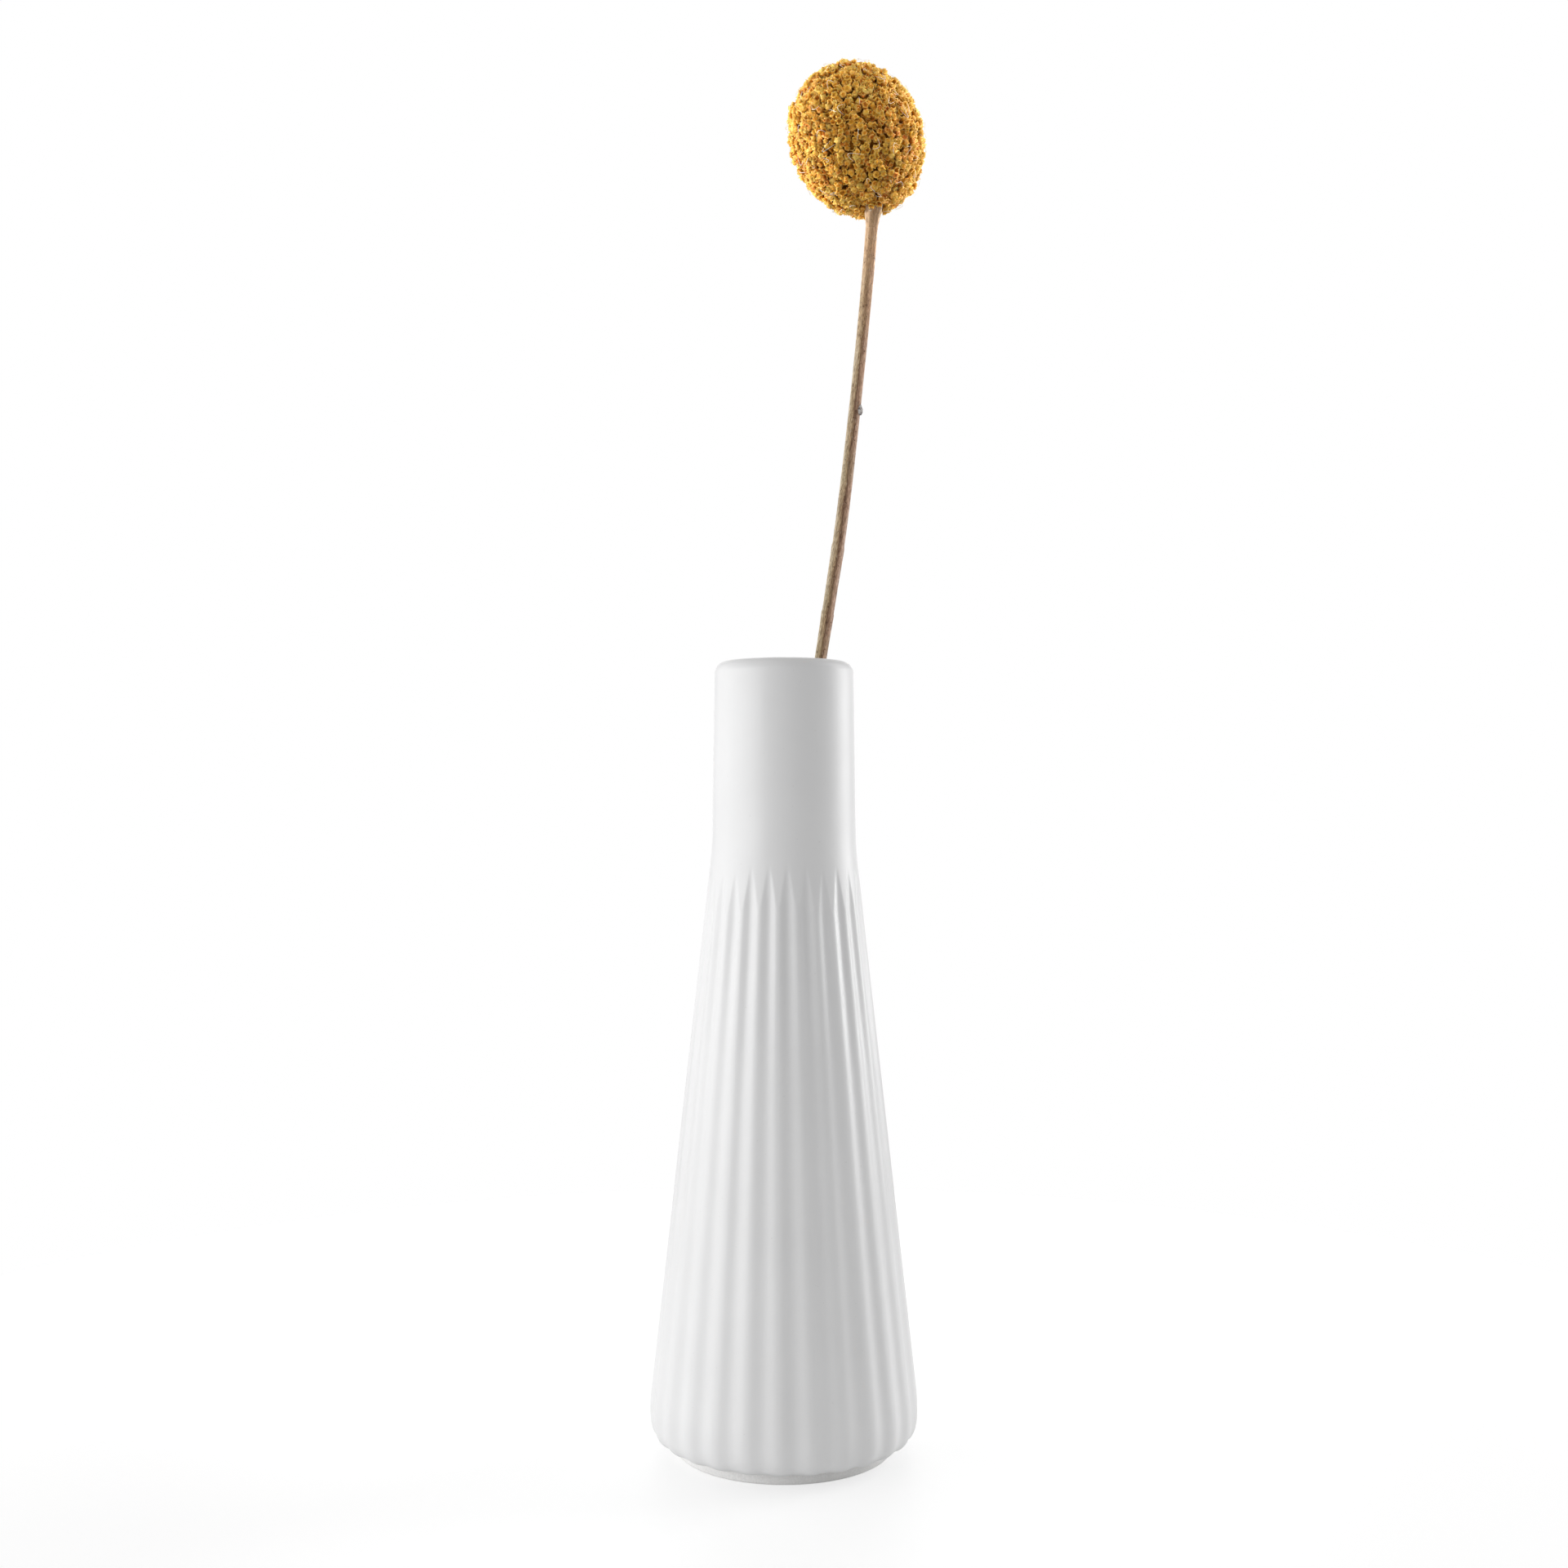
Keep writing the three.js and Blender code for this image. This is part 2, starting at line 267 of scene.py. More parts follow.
def column_bearings():
    """The bearing of each column and its place across its flute. The ridges aren't quite evenly spaced."""
    rng = np.random.default_rng(SEED + 1)
    pitch = 2 * np.pi / FLUTE_COUNT
    ridges = FIRST_FLUTE_BEARING + pitch * (np.arange(FLUTE_COUNT + 1) - 0.5)
    ridges[1:-1] += np.radians(rng.uniform(-0.25, 0.25, FLUTE_COUNT - 1))
    share = np.arange(COLUMNS_PER_FLUTE) / COLUMNS_PER_FLUTE
    bearings = (ridges[:-1, None] + np.diff(ridges)[:, None] * share).ravel()
    return bearings + FRONT_STRETCH * np.sin(bearings), np.tile(2 * share - 1, FLUTE_COUNT)


def vase_points():
    """The vase's points, row by row from the underside's middle, and how many rows and columns there are."""
    bearings, across = column_bearings()
    foot, fluted, rest = foot_outline(), fluted_outline(), neck_and_inside_outline()
    outline = np.vstack([foot, fluted, rest])
    along = np.gradient(fluted, axis=0)
    inward = np.column_stack([-along[:, 1], along[:, 0]]) / np.hypot(along[:, 0], along[:, 1])[:, None]
    dents = flute_dents(fluted[:, 1], across)
    radius = np.repeat(outline[:, :1], len(bearings), axis=1)
    height = np.repeat(outline[:, 1:], len(bearings), axis=1)
    pressed = slice(len(foot), len(foot) + len(fluted))
    radius[pressed] += inward[:, :1] * dents
    height[pressed] += inward[:, 1:] * dents
    turned = bearings + FLUTE_TWIST * outline[:, 1:]
    x = radius * np.sin(turned)
    y = -radius * np.cos(turned)
    middle = np.stack([x, y, height], axis=-1).reshape(-1, 3)
    points = np.vstack([[0, 0, UNDERSIDE_HOLLOW_DEPTH], middle, [0, 0, FLOOR_Z]])
    return points, len(outline), len(bearings)


def make_vase(material):
    points, rows, columns = vase_points()
    new_piece("porcelain_vase", points, skin(rows, columns), material, "vase", "vase_body")


# ---------------------------------------------------------------- the stem

def cad_centre_line(node):
    """The centre line of a swept CAD node, one point for each of its rings, in millimetres."""
    points = np.array([vertex.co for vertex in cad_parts[node].data.vertices]) / MM
    points = points[np.argsort(points[:, 2])]
    rings = np.split(points, np.flatnonzero(np.diff(points[:, 2]) > 2) + 1)
    return np.array([np.unique(ring.round(4), axis=0).mean(axis=0) for ring in rings])


def evenly_along(line, spacing):
    """Points about evenly spaced along a smooth curve through a line's points, with the direction at each."""
    steps = np.r_[0, np.cumsum(np.linalg.norm(np.diff(line, axis=0), axis=1))]
    wanted = np.linspace(0, steps[-1], int(steps[-1] / spacing))
    slopes = np.gradient(line, steps, axis=0)
    index = np.clip(np.searchsorted(steps, wanted) - 1, 0, len(line) - 2)
    length = (steps[index + 1] - steps[index])[:, None]
    t = ((wanted - steps[index])[:, None]) / length
    points = (
        line[index] * (1 + 2 * t) * (1 - t) ** 2
        + line[index + 1] * t**2 * (3 - 2 * t)
        + slopes[index] * length * t * (1 - t) ** 2
        - slopes[index + 1] * length * t**2 * (1 - t)
    )
    directions = np.gradient(points, axis=0)
    return points, directions / np.linalg.norm(directions, axis=1)[:, None], wanted


def fibre_relief(angle, along):
    """The ribs of dried fibre down a stem, as a share of its radius."""
    return (
        0.045 * np.sin(5 * angle + 1.1 * np.sin(along / 31))
        + 0.035 * np.sin(8 * angle + 1.7 * np.sin(along / 19 + 1) + 0.02 * along)
        + 0.02 * np.sin(13 * angle + 2.3 * np.sin(along / 13 + 2))
        + 0.02 * np.sin(2 * angle + along / 9)
    )


def swept_points(centres, directions, radii, angles):
    """Rings of points round a line, with a pole at each end."""
    side = np.cross(directions, [0.0, 1.0, 0.0])
    side /= np.linalg.norm(side, axis=1)[:, None]
    ahead = np.cross(directions, side)
    around = side[:, None] * np.cos(angles)[:, None] + ahead[:, None] * np.sin(angles)[:, None]
    rings = centres[:, None] + radii[:, :, None] * around
    return np.vstack([centres[:1], rings.reshape(-1, 3), centres[-1:]])


def fibre_space(along, angles):
    """A straightened place for each point of a swept piece, for streaks that follow the fibres."""
    rows = np.repeat(along, len(angles))
    turns = np.tile(angles, len(along))
    middle = np.column_stack([np.cos(turns), np.sin(turns), rows / FIBRE_REPEAT])
    return np.vstack([[0, 0, along[0] / FIBRE_REPEAT], middle, [0, 0, along[-1] / FIBRE_REPEAT]])


def make_stem(material):
    centres, directions, along = evenly_along(cad_centre_line("flower_stem"), STEM_RING_SPACING)
    angles = np.linspace(0, 2 * np.pi, STEM_SIDES, endpoint=False)
    radii = STEM_RADIUS * (1 + fibre_relief(angles, along[:, None]))
    height = centres[:, 2:]
    for joint in STEM_JOINTS:
        below = joint + 0.35 * np.sin(angles + joint) - height
        fading = np.exp(-np.clip(below, 0, None) / 4)
        radii = radii + STEM_JOINT_SWELLING * smooth_step(0, 0.35, below) * fading
    radii = radii - 0.3 * smooth_step(0.8, 0, along[:, None])
    points = swept_points(centres, directions, radii, angles)
    attributes = {"fibre_space": fibre_space(along, angles)}
    faces = skin(len(along), STEM_SIDES)
    new_piece("dried_stem", points, faces, material, "flower", "flower_stem", attributes)


@functools.cache
def stem_top():
    """The stem's end and the direction that it points in there."""
    line = cad_centre_line("flower_stem")
    direction = line[-1] - line[-3]
    return line[-1], direction / np.linalg.norm(direction)


def make_receptacle(material):
    """The flare under the head and the club inside it, which carries on from the stem's end."""
    top, direction = stem_top()
    along = np.linspace(RECEPTACLE_OUTLINE[0][0], RECEPTACLE_OUTLINE[-1][0], RECEPTACLE_RINGS)
    radius = np.interp(along, *zip(*RECEPTACLE_OUTLINE))
    fibres_along = RECEPTACLE_FIBRE_START + along
    angles = np.linspace(0, 2 * np.pi, STEM_SIDES, endpoint=False)
    centres = top + along[:, None] * direction
    radii = radius[:, None] * (1 + fibre_relief(angles, fibres_along[:, None]))
    points = swept_points(centres, np.tile(direction, (len(along), 1)), radii, angles)
    attributes = {"fibre_space": fibre_space(fibres_along, angles)}
    faces = skin(len(along), STEM_SIDES)
    new_piece(
        "stem_receptacle", points, faces, material, "flower", "flower_receptacle", attributes
    )


def make_leaf_stub(material):
    """What is left of a small leaf: a shrivelled scale that lies against the stem's right side."""
    lowest, highest = (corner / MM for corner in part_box("leaf_stub"))
    middle_z = (lowest.z + highest.z) / 2
    centres, directions, _ = evenly_along(cad_centre_line("flower_stem"), STEM_RING_SPACING)
    nearest = np.abs(centres[:, 2] - middle_z).argmin()
    stem, stem_direction = centres[nearest], directions[nearest]
    rows, columns = 14, 16
    height = np.linspace(-0.96, 0.96, rows)[:, None]
    angles = np.linspace(0, 2 * np.pi, columns, endpoint=False)
    radius = np.sqrt(1 - height**2) * (1 - 0.35 * height)
    radius = radius * (1 + 0.16 * np.sin(3 * angles + 4 * height) + 0.1 * np.sin(7 * angles - 9 * height))
    bearing = LEAF_BEARING + LEAF_HALF_WIDTH * radius * np.sin(angles)
    reach = STEM_RADIUS + LEAF_HALF_THICKNESS * (0.5 + radius * np.cos(angles) - 0.3 * height)
    along = np.broadcast_to(LEAF_HALF_LENGTH * height, reach.shape)[..., None] * stem_direction
    around = np.stack([reach * np.cos(bearing), reach * np.sin(bearing), 0 * reach], axis=-1)
    middle = (stem + along + around).reshape(-1, 3)
    root = STEM_RADIUS * np.array([math.cos(LEAF_BEARING), math.sin(LEAF_BEARING), 0])
    ends = [stem + root + end * LEAF_HALF_LENGTH * stem_direction for end in (-1, 1)]
    points = np.vstack([ends[0], middle, ends[1]])
    new_piece("leaf_scale", points, skin(rows, columns), material, "flower", "leaf_stub")


# ---------------------------------------------------------------- the head

def head_basis():
    """Two directions across the head's axis, and the axis."""
    axis = np.array(HEAD_AXIS)
    across = np.cross(axis, [0, 1, 0])
    across /= np.linalg.norm(across)
    return np.array([across, np.cross(axis, across), axis])


def even_directions(count):
    """Directions spread evenly over a ball."""
    index = np.arange(count) + 0.5
    height = 1 - 2 * index / count
    turn = math.pi * (1 + math.sqrt(5)) * index
    flat = np.sqrt(1 - height**2)
    return np.column_stack([flat * np.cos(turn), flat * np.sin(turn), height])


def head_centre():
    lowest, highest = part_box("floret_head")
    return np.array((lowest + highest) / 2) / MM


def floret_shape(openness):
    """A floret 1 high on Z, between a closed bud and an open cup, and how far up it each point is."""
    angles = np.linspace(0, 2 * np.pi, FLORET_SIDES, endpoint=False)
    lobes = np.cos(5 * angles)
    bud = np.array([(0.45, 0.1), (0.95, 0.5), (0.84, 0.84), (0.42, 0.97)])
    cup = np.array([(0.45, 0.1), (0.75, 0.5), (1.0, 0.95), (0.6, 0.7)])
    rows = (1 - openness) * bud + openness * cup
    lobing = np.array([0, 0.05, 0.12, 0.12])
    radius = rows[:, :1] * (1 + lobing[:, None] * lobes)
    height = rows[:, 1:] + 0.5 * lobing[:, None] * lobes
    rings = np.stack([radius * np.cos(angles), radius * np.sin(angles), height], axis=-1).reshape(-1, 3)
    heart = 0.9 - 0.5 * openness
    rise = np.repeat([0.1, 0.5, 1, 0.8 - 0.3 * openness], FLORET_SIDES)
    return np.vstack([[0, 0, 0], rings, [0, 0, heart]]), np.r_[0, rise, 0.65 - 0.4 * openness]


def spread(spacing, jitter, rng):
    """Directions about a spacing apart on the head, each moved by a random share of it."""
    area = 4 * np.pi * HEAD_RADIUS * (HEAD_RADIUS + HEAD_HALF_LENGTH) / 2
    directions = even_directions(int(area / (0.866 * spacing**2)))
    directions += rng.normal(0, jitter * spacing / HEAD_RADIUS, directions.shape)
    return directions / np.linalg.norm(directions, axis=1)[:, None]


def floret_places(rng):
    """Each floret's direction from the head's centre, how deep it sits, how it leans, and its cluster."""
    directions = spread(FLORET_SPACING, 0.22, rng)
    clusters = spread(CLUSTER_SPACING, 0.2, rng)
    nearness = directions @ clusters.T
    cluster = nearness.argmax(axis=1)
    away = HEAD_RADIUS * np.arccos(np.clip(nearness.max(axis=1), -1, 1)) / (CLUSTER_SPACING / 2)
    sink = CLUSTER_SINK * np.clip(away, 0, 1.3) ** 2 + rng.uniform(0, FLORET_SINK, len(directions))
    lean = 0.4 * away[:, None] * (directions - clusters[cluster]) * HEAD_RADIUS / CLUSTER_SPACING
    return directions, sink, lean, cluster


def upright_frame(outward, spin):
    """Two directions across an outward one, turned about it, and the outward one."""
    side = np.cross(outward, [0.3, 0.9, 0.1])
    side /= np.linalg.norm(side)
    ahead = np.cross(outward, side)
    return np.array([
        math.cos(spin) * side + math.sin(spin) * ahead,
        math.cos(spin) * ahead - math.sin(spin) * side,
        outward,
    ])


def near_stem(point):
    """Whether a place is in the way of the stem where it comes into the head."""
    top, direction = stem_top()
    beyond = (point - top) @ direction
    return beyond < 8 and np.linalg.norm(point - top - beyond * direction) < STEM_CLEARANCE


def make_florets(material):
    """The florets, in tiers from the head's top to its foot that each hold whole clusters."""
    rng = np.random.default_rng(SEED + 2)
    directions, sink, lean, cluster = floret_places(rng)
    basis, centre = head_basis(), head_centre()
    sizes = np.array([HEAD_RADIUS, HEAD_RADIUS, HEAD_HALF_LENGTH])
    cluster_count = cluster.max() + 1
    cluster_shade = rng.uniform(-0.15, 0.15, cluster_count)
    tiers = [[] for _ in range(HEAD_TIERS)]
    for index, direction in enumerate(directions):
        openness = rng.uniform(0, 1) ** MOSTLY_CLOSED
        scale = rng.uniform(0.8, 1.2)
        squeeze = rng.uniform(0.85, 1.15)
        normal = direction / sizes
        outward = (normal / np.linalg.norm(normal) + lean[index]) @ basis + rng.normal(0, 0.16, 3)
        outward /= np.linalg.norm(outward)
        foot = centre + (direction * (sizes - sink[index])) @ basis - outward * FLORET_HEIGHT * scale
        if near_stem(foot):
            continue
        points, rise = floret_shape(openness)
        points = points * scale * [FLORET_RADIUS * squeeze, FLORET_RADIUS / squeeze, FLORET_HEIGHT]
        points[1:] += rng.normal(0, FLORET_CRUMPLE, (len(points) - 1, 3))
        points = foot + points @ upright_frame(outward, rng.uniform(0, 2 * np.pi))
        shade = np.clip(rng.normal(0.5, 0.24) + cluster_shade[cluster[index]], 0, 1)
        tier = cluster[index] * HEAD_TIERS // cluster_count
        tiers[tier].append((points, rise, np.full(len(points), shade)))
    faces = np.array([
        corners
        for face in skin(4, FLORET_SIDES)
        for corners in ([face] if len(face) == 3 else [face[:3], (face[0], face[2], face[3])])
    ])
    for number, florets in enumerate(tiers):
        points, rise, shade = (np.concatenate(parts) for parts in zip(*florets))
        first_points = np.arange(len(florets)) * (len(points) // len(florets))
        all_faces = (faces + first_points[:, None, None]).reshape(-1, 3).tolist()
        attributes = {"rise": rise, "shade": shade}
        name = f"florets_tier_{number + 1}"
        new_piece(name, points, all_faces, material, "flower", "floret_head", attributes)


def make_head_core(material):
    """The pith that shows in the gaps between the florets, coloured dark brown as painted shade in those
    gaps.
    """
    height = np.cos(np.linspace(0.04, np.pi - 0.04, PITH_ROWS))[::-1, None]
    angles = np.linspace(0, 2 * np.pi, PITH_COLUMNS, endpoint=False)
    flat = np.sqrt(1 - height**2)
    lumps = 1 + 0.012 * np.sin(17 * angles + 9 * height) * flat + 0.012 * np.sin(23 * height + 3 * angles)
    depth = 1 - PITH_DEPTH / HEAD_RADIUS
    local = np.stack([
        depth * HEAD_RADIUS * lumps * flat * np.cos(angles),
        depth * HEAD_RADIUS * lumps * flat * np.sin(angles),
        np.broadcast_to(depth * HEAD_HALF_LENGTH * height * lumps, lumps.shape),
    ], axis=-1).reshape(-1, 3)
    ends = depth * HEAD_HALF_LENGTH * np.array([[0, 0, -1.0], [0, 0, 1.0]])
    local = np.vstack([ends[0], local, ends[1]])
    points = head_centre() + local @ head_basis()
    faces = skin(PITH_ROWS, PITH_COLUMNS)
    new_piece("floret_pith", points, faces, material, "flower", "floret_head")


def make_hairs(material):
    """A few pale stray hairs that lie over the florets."""
    rng = np.random.default_rng(SEED + 4)
    basis, centre = head_basis(), head_centre()
    sizes = np.array([HEAD_RADIUS, HEAD_RADIUS, HEAD_HALF_LENGTH])
    angles = np.linspace(0, 2 * np.pi, HAIR_SIDES, endpoint=False)
    all_points, all_faces = [], []
    for start in even_directions(HAIR_COUNT):
        start = start + rng.normal(0, 0.1, 3)
        across = np.cross(start, rng.normal(0, 1, 3))
        across /= np.linalg.norm(across)
        reach = rng.uniform(0.02, 0.08)
        t = np.linspace(-1, 1, HAIR_RINGS)[:, None]
        bend = rng.normal(0, 0.06, 3)
        line = start + across * reach * t + bend * (t**2)
        line /= np.linalg.norm(line, axis=1)[:, None]
        lift = -0.35 + 0.4 * np.cos(np.pi * t / 2)
        centres = centre + (line * (sizes + lift)) @ basis
        along = np.gradient(centres, axis=0)
        along /= np.linalg.norm(along, axis=1)[:, None]
        radii = np.repeat(HAIR_RADIUS * np.sqrt(1.05 - t**2), HAIR_SIDES, axis=1)
        offset = sum(len(points) for points in all_points)
        all_points.append(swept_points(centres, along, radii, angles))
        all_faces += [tuple(corner + offset for corner in face) for face in skin(HAIR_RINGS, HAIR_SIDES)]
    new_piece(
        "stray_hairs", np.vstack(all_points), all_faces, material, "flower", "floret_head"
    )


# ---------------------------------------------------------------- materials

def new_material(name):
    """A node material's tree and its main shader."""
    material = bpy.data.materials.new(name)
    material.use_nodes = True
    return material, material.node_tree, material.node_tree.nodes["Principled BSDF"]


def add(tree, kind, inputs=None, **settings):
    """Adds a node. Inputs go from a socket's name or number to a value, or to the socket that feeds it."""
    made = tree.nodes.new(kind)
    for key, value in settings.items():
        setattr(made, key, value)
    for key, value in (inputs or {}).items():
        if isinstance(value, bpy.types.NodeSocket):
            tree.links.new(value, made.inputs[key])
        else:
            made.inputs[key].default_value = value
    return made


def object_place(tree):
    """The place on a piece in its own space, in metres."""
    return add(tree, "ShaderNodeTexCoord").outputs["Object"]


def noise(tree, place, scale, detail=3.0, roughness=0.5):
    inputs = {"Vector": place, "Scale": scale, "Detail": detail, "Roughness": roughness}
    return add(tree, "ShaderNodeTexNoise", inputs).outputs["Fac"]


def ranged(tree, value, low, high, to_low=0.0, to_high=1.0):
    inputs = {"Value": value, 1: low, 2: high, 3: to_low, 4: to_high}
    return add(tree, "ShaderNodeMapRange", inputs).outputs[0]


def mixed(tree, share, first, second, blend_type="MIX"):
    """A colour between two, or one blended over the other."""
    inputs = {0: share, 6: first, 7: second}
    return add(tree, "ShaderNodeMix", inputs, data_type="RGBA", blend_type=blend_type).outputs[2]


def ramp(tree, share, *stops):
    """A colour ramp through (place, colour) stops."""
    made = add(tree, "ShaderNodeValToRGB", {"Fac": share})
    elements = made.color_ramp.elements
    while len(elements) < len(stops):
        elements.new(0.5)
    for element, (place, colour) in zip(elements, stops):
        element.position = place
        element.color = (*colour, 1)
    return made.outputs["Color"]


def maths(tree, operation, first, second):
    return add(tree, "ShaderNodeMath", {0: first, 1: second}, operation=operation).outputs[0]


def bumped(tree, shader, height, distance, strength=1.0):
    """Roughens a surface by a height from nodes, over a distance in metres."""
    bump = add(tree, "ShaderNodeBump", {"Height": height, "Distance": distance, "Strength": strength})
    tree.links.new(bump.outputs["Normal"], shader.inputs["Normal"])


def porcelain():
    """Satin white porcelain: faintly clouded, with a few fine specks, and bare and rougher at the foot."""
    material, tree, shader = new_material("porcelain")
    place = object_place(tree)
    height = add(tree, "ShaderNodeSeparateXYZ", {0: place}).outputs["Z"]
    bare = ranged(tree, height, 2.5 * MM, 1.9 * MM)
    clouds = noise(tree, place, 55, 5)
    white = ramp(tree, clouds, (0.3, (0.778, 0.778, 0.78)), (0.7, (0.8, 0.8, 0.802)))
    specks = ranged(tree, noise(tree, place, 1900, 1), 0.77, 0.8)
    white = mixed(tree, maths(tree, "MULTIPLY", specks, 0.25), white, (0.5, 0.48, 0.45, 1))
    grain = noise(tree, place, 2600, 2)
    bare_clay = ramp(tree, grain, (0.3, (0.78, 0.775, 0.765)), (0.7, (0.86, 0.855, 0.845)))
    tree.links.new(mixed(tree, bare, white, bare_clay), shader.inputs["Base Color"])
    satin = ranged(tree, noise(tree, place, 130, 4), 0.3, 0.7, 0.33, 0.4)
    rough = maths(tree, "ADD", satin, maths(tree, "MULTIPLY", bare, 0.4))
    tree.links.new(rough, shader.inputs["Roughness"])
    peel = maths(tree, "ADD", noise(tree, place, 260, 2), maths(tree, "MULTIPLY", grain, bare))
    bumped(tree, shader, peel, 0.03 * MM)
    shader.inputs["IOR"].default_value = 1.5
    return material


def dried_fibre():
    """Dried stem: painted light and shade round it, darkest just right of the front and paler at the left and
    far right, streaked along its fibres, and pinker towards the head.
    """
    material, tree, shader = new_material("dried_fibre")
    fibres = add(tree, "ShaderNodeAttribute", attribute_name="fibre_space").outputs["Vector"]
    place = object_place(tree)
    broad = noise(tree, fibres, 2.1, 3)
    fine = noise(tree, fibres, 10, 4, 0.7)
    # Painted light and shade: the tone runs round the stem from pale at the far right, through a dark band
    # just right of the front, to pale at the left.
    leftness_for_painted_shade = add(tree, "ShaderNodeSeparateXYZ", {0: fibres}).outputs["X"]
    painted_shade_place = maths(tree, "ADD", leftness_for_painted_shade, ranged(tree, broad, 0.3, 0.7, -0.25, 0.25))
    tone = ramp(
        tree, ranged(tree, painted_shade_place, -1.0, 1.0),
        (0.0, (0.68, 0.5, 0.4)), (0.18, (0.56, 0.36, 0.25)), (0.33, (0.4, 0.25, 0.165)),
        (0.44, (0.22, 0.125, 0.075)), (0.58, (0.42, 0.29, 0.17)), (0.8, (0.5, 0.39, 0.25)),
        (0.95, (0.7, 0.6, 0.44)),
    )
    height = add(tree, "ShaderNodeSeparateXYZ", {0: place}).outputs["Z"]
    pinkness = ranged(tree, height, 222 * MM, 246 * MM, 0.0, 0.75)
    tone = mixed(tree, pinkness, tone, (0.5, 0.31, 0.17, 1))
    streak = ranged(tree, fine, 0.38, 0.6, 0.0, 1.0)
    contrast = ranged(tree, height, 225 * MM, 250 * MM, 0.9, 0.6)
    dark_streaks = mixed(tree, streak, (0.34, 0.25, 0.2, 1), (1.35, 1.35, 1.33, 1))
    colour = mixed(tree, contrast, tone, dark_streaks, "MULTIPLY")
    green = ranged(tree, noise(tree, place, 130, 3), 0.5, 0.7, 0.0, 0.3)
    colour = mixed(tree, green, colour, (0.3, 0.27, 0.13, 1))
    flecks = ranged(tree, noise(tree, place, 1500, 2), 0.64, 0.68)
    colour = mixed(tree, maths(tree, "MULTIPLY", flecks, 0.7), colour, (0.09, 0.04, 0.02, 1))
    skin_flakes = ranged(tree, noise(tree, fibres, 11, 2), 0.64, 0.7, 0.0, 0.6)
    colour = mixed(tree, skin_flakes, colour, (0.75, 0.66, 0.52, 1))
    tree.links.new(colour, shader.inputs["Base Color"])
    tree.links.new(ranged(tree, fine, 0.3, 0.7, 0.7, 0.9), shader.inputs["Roughness"])
    relief = maths(tree, "ADD", fine, maths(tree, "MULTIPLY", noise(tree, place, 1500, 3), 0.4))
    bumped(tree, shader, relief, 0.15 * MM)
    shader.inputs["Specular IOR Level"].default_value = 0.3
    return material


def floret_tissue():
    """Dry golden florets: each has its own tone, with painted shade that browns its foot down in the
    crevices, and a lip that is paler, partly its own colour and partly a painted highlight.
    """
    material, tree, shader = new_material("florets")
    place = object_place(tree)
    shade = add(tree, "ShaderNodeAttribute", attribute_name="shade").outputs["Fac"]
    rise = add(tree, "ShaderNodeAttribute", attribute_name="rise").outputs["Fac"]
    body = ramp(
        tree, shade,
        (0.0, (0.62, 0.15, 0.01)), (0.2, (0.56, 0.2, 0.01)), (0.45, (0.76, 0.32, 0.022)),
        (0.75, (0.81, 0.4, 0.04)), (1.0, (0.87, 0.55, 0.12)),
    )
    grain = noise(tree, place, 1700, 3)
    body = mixed(tree, ranged(tree, grain, 0.5, 0.68, 0.0, 0.5), body, (0.38, 0.13, 0.008, 1))
    # The lip is paler, partly the thin lobes' own colour and partly a painted highlight where the rims catch
    # the light.
    lip = mixed(tree, 0.7, body, (0.88, 0.6, 0.17, 1))
    colour = mixed(tree, ranged(tree, rise, 0.8, 1.0), body, lip)
    # Painted shade: each floret darkens to brown towards its foot, down in the crevices between the florets.
    colour = mixed(tree, ranged(tree, rise, 0.78, 0.25), colour, (0.22, 0.06, 0.002, 1))
    tree.links.new(colour, shader.inputs["Base Color"])
    tree.links.new(ranged(tree, grain, 0.3, 0.7, 0.5, 0.75), shader.inputs["Roughness"])
    bumped(tree, shader, grain, 0.08 * MM)
    shader.inputs["Specular IOR Level"].default_value = 0.12
    shader.inputs["Subsurface Weight"].default_value = 0.35
    shader.inputs["Subsurface Radius"].default_value = (1.0, 0.6, 0.15)
    shader.inputs["Subsurface Scale"].default_value = 0.9 * MM
    shader.inputs["Sheen Weight"].default_value = 1
    shader.inputs["Sheen Roughness"].default_value = 0.45
    shader.inputs["Sheen Tint"].default_value = (1.0, 0.68, 0.24, 1)
    return material


def pith():
    """The felted middle of the head, dark brown as painted shade for the gaps between the florets."""
    material, tree, shader = new_material("pith")
    place = object_place(tree)
    felt = noise(tree, place, 900, 4)
    # Painted shade: this dark brown stands in for the shade deep in the gaps between the florets.
    colour = ramp(tree, felt, (0.3, (0.16, 0.055, 0.004)), (0.7, (0.38, 0.16, 0.012)))
    tree.links.new(colour, shader.inputs["Base Color"])
    tree.links.new(ranged(tree, felt, 0.3, 0.7, 0.8, 0.95), shader.inputs["Roughness"])
    bumped(tree, shader, felt, 0.5 * MM)
    shader.inputs["Specular IOR Level"].default_value = 0.05
    return material


def hair():
    """Pale, dry hair with a faint sheen."""
    material, tree, shader = new_material("hair")
    place = object_place(tree)
    streak = noise(tree, place, 700, 2)
    colour = ramp(tree, streak, (0.3, (0.85, 0.74, 0.55)), (0.7, (0.95, 0.9, 0.78)))
    tree.links.new(colour, shader.inputs["Base Color"])
    tree.links.new(ranged(tree, streak, 0.3, 0.7, 0.4, 0.6), shader.inputs["Roughness"])
    shader.inputs["Sheen Weight"].default_value = 0.4
    return material


def dead_leaf():
    """A shrivelled grey leaf scale, mottled from near white to dark."""
    material, tree, shader = new_material("dead_leaf")
    place = object_place(tree)
    mottle = noise(tree, place, 1400, 3)
    colour = ramp(
        tree, mottle, (0.38, (0.12, 0.1, 0.09)), (0.47, (0.32, 0.29, 0.27)), (0.6, (0.62, 0.59, 0.56))
    )
    tree.links.new(colour, shader.inputs["Base Color"])
    tree.links.new(ranged(tree, mottle, 0.3, 0.7, 0.9, 0.65), shader.inputs["Roughness"])
    bumped(tree, shader, mottle, 0.15 * MM)
    return material


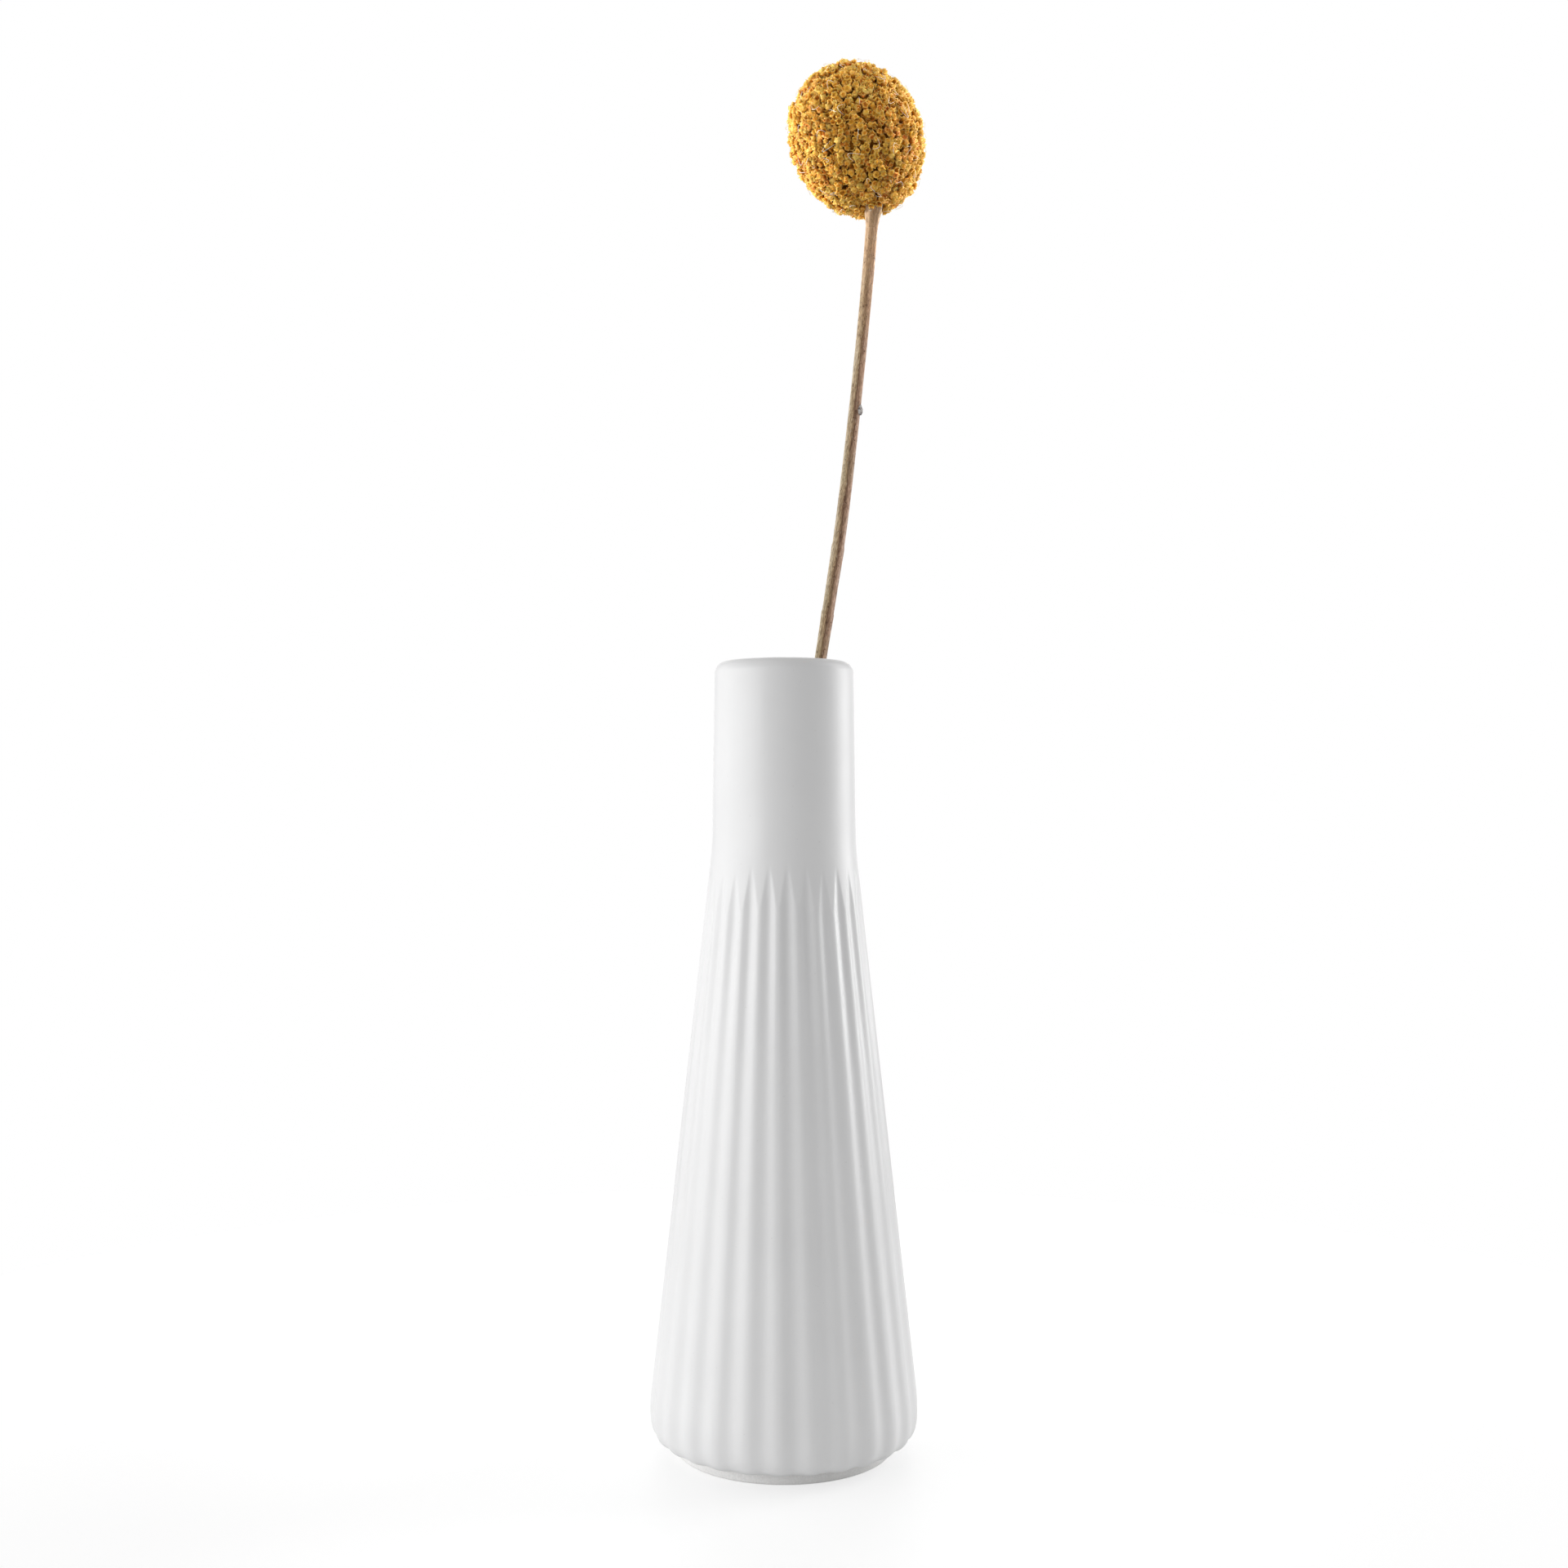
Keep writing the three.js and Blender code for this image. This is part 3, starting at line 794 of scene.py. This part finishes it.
def studio_white():
    """The floor: matt white paper, which the camera sees partly glowing, like an overexposed sweep."""
    material, tree, shader = new_material("studio_white")
    tone = noise(tree, object_place(tree), 4, 2)
    paper = ramp(tree, tone, (0.3, (0.925, 0.925, 0.925)), (0.7, (0.935, 0.935, 0.935)))
    tree.links.new(paper, shader.inputs["Base Color"])
    shader.inputs["Roughness"].default_value = 0.4
    seen = add(tree, "ShaderNodeLightPath").outputs["Is Camera Ray"]
    glow = add(tree, "ShaderNodeEmission", {"Strength": FLOOR_GLOW})
    share = maths(tree, "MULTIPLY", seen, FLOOR_GLOW_SHARE)
    surface = add(tree, "ShaderNodeMixShader", {0: share, 1: shader.outputs[0], 2: glow.outputs[0]})
    tree.links.new(surface.outputs[0], tree.nodes["Material Output"].inputs["Surface"])
    return material


# ---------------------------------------------------------------- the studio

CAMERA_DISTANCE = 0.3725
CAMERA_HEIGHT = 0.1283
SENSOR_WIDTH = 36
LENS = 41.906
HORIZON_BELOW_MIDDLE = 0.0214  # of the picture's width
FLOOR_RADIUS = 0.26
FLOOR_GLOW = 1.25
FLOOR_GLOW_SHARE = 0.48
SOFTBOX_DISTANCE = 0.9
AMBIENT = 0.44

# Each softbox's name, bearing from the front towards +X, how many degrees wide it looks from the vase,
# the heights of its lower and upper edge in metres, and its brightness.
SOFTBOXES = (
    ("left_key", -60, 45, 0.01, 0.43, 3.4),
    ("left_side", -97, 30, 0.01, 0.43, 2.5),
    ("left_rear", -127, 30, 0.01, 1, 0.9),
    ("left_high", -90, 45, 0.44, 1, 0.45),
    ("right_edge", 90, 15, 0.01, 0.43, 1.2),
    ("right_strip", 113, 30, 0.01, 0.43, 4.5),
    ("right_rear", 143, 30, 0.01, 0.43, 0.35),
    ("right_high", 113, 30, 0.44, 1, 2.5),
    ("back", 180, 45, 0.01, 1, 0.9),
)

# Lights with a grid in front, which reach little but the flower's head: name, bearing, height in metres
# and power in watts.
HEAD_LIGHTS = (
    ("head_left", -110, 0.31, 0.016),
    ("head_right", 110, 0.31, 0.012),
    ("head_back", 150, 0.45, 0.006),
    ("head_top", 60, 0.7, 0.007),
)
HEAD_LIGHT_DISTANCE = 0.45
HEAD_LIGHT_SIZE = 0.04
HEAD_LIGHT_SPREAD = math.radians(10)


def make_camera():
    """A level camera in front of the vase, whose lens is shifted so that its horizon is below the middle."""
    data = bpy.data.cameras.new("camera")
    data.sensor_width = SENSOR_WIDTH
    data.lens = LENS
    data.shift_y = HORIZON_BELOW_MIDDLE
    data.clip_start = 0.01
    camera = bpy.data.objects.new("camera", data)
    camera.location = (0, -CAMERA_DISTANCE, CAMERA_HEIGHT)
    camera.rotation_euler = (math.pi / 2, 0, 0)
    bpy.context.scene.collection.objects.link(camera)
    bpy.context.scene.camera = camera


def make_softbox(name, bearing, degrees_wide, lower, upper, brightness):
    """A soft light, unseen by the camera, that stands upright and faces the vase's axis."""
    width = 2 * SOFTBOX_DISTANCE * math.tan(math.radians(degrees_wide / 2))
    data = bpy.data.lights.new(name, "AREA")
    data.shape = "RECTANGLE"
    data.size = width
    data.size_y = upper - lower
    data.energy = brightness * math.pi * width * (upper - lower)
    light = bpy.data.objects.new(name, data)
    turn = math.radians(bearing)
    away = Vector((math.sin(turn), -math.cos(turn), 0))
    light.location = SOFTBOX_DISTANCE * away + Vector((0, 0, (lower + upper) / 2))
    light.rotation_euler = (-away).to_track_quat("-Z", "Y").to_euler()
    light.visible_camera = False
    bpy.context.scene.collection.objects.link(light)


def make_head_light(name, bearing, height, power):
    """A small light with a grid, aimed at the flower's head, which it follows when the flower is lifted."""
    data = bpy.data.lights.new(name, "AREA")
    data.size = HEAD_LIGHT_SIZE
    data.spread = HEAD_LIGHT_SPREAD
    data.energy = power
    light = bpy.data.objects.new(name, data)
    turn = math.radians(bearing)
    light.location = (HEAD_LIGHT_DISTANCE * math.sin(turn), -HEAD_LIGHT_DISTANCE * math.cos(turn), height)
    aim = Vector(head_centre() * MM) - light.location
    light.rotation_euler = aim.to_track_quat("-Z", "Y").to_euler()
    light.visible_camera = False
    bpy.context.scene.collection.objects.link(light)
    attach(light, "flower")


def make_floor():
    """A round white board under the vase. Beyond its edge the white world carries on."""
    sides, rings = 96, np.geomspace(0.02, FLOOR_RADIUS, 16)
    angles = np.linspace(0, 2 * np.pi, sides, endpoint=False)
    flat = [np.column_stack([r * np.cos(angles), r * np.sin(angles), 0 * angles]) for r in rings]
    points = np.vstack([[0, 0, 0], *flat])
    faces = [(0, 1 + side, 1 + (side + 1) % sides) for side in range(sides)]
    for low in range(1, len(points) - sides, sides):
        for side in range(sides):
            after = (side + 1) % sides
            faces.append((low + side, low + sides + side, low + sides + after, low + after))
    mesh = bpy.data.meshes.new("studio_floor")
    mesh.from_pydata(points.tolist(), [], faces)
    mesh.materials.append(studio_white())
    floor = bpy.data.objects.new("studio_floor", mesh)
    bpy.context.scene.collection.objects.link(floor)


def make_world(ambient):
    """White behind the vase, and a dimmer light from all round."""
    world = bpy.data.worlds.new("studio")
    world.use_nodes = True
    tree = world.node_tree
    background = tree.nodes["Background"]
    seen = add(tree, "ShaderNodeLightPath").outputs["Is Camera Ray"]
    tree.links.new(ranged(tree, seen, 0.0, 1.0, ambient, 1.0), background.inputs["Strength"])
    background.inputs["Color"].default_value = (1, 1, 1, 1)
    bpy.context.scene.world = world


# ---------------------------------------------------------------- putting it together

make_vase(porcelain())
stem_fibre = dried_fibre()
make_stem(stem_fibre)
make_receptacle(stem_fibre)
make_leaf_stub(dead_leaf())
make_florets(floret_tissue())
make_head_core(pith())
make_hairs(hair())

make_camera()
make_floor()
make_world(AMBIENT)
for softbox in SOFTBOXES:
    make_softbox(*softbox)
for head_light in HEAD_LIGHTS:
    make_head_light(*head_light)

bpy.context.scene.view_settings.view_transform = "Standard"
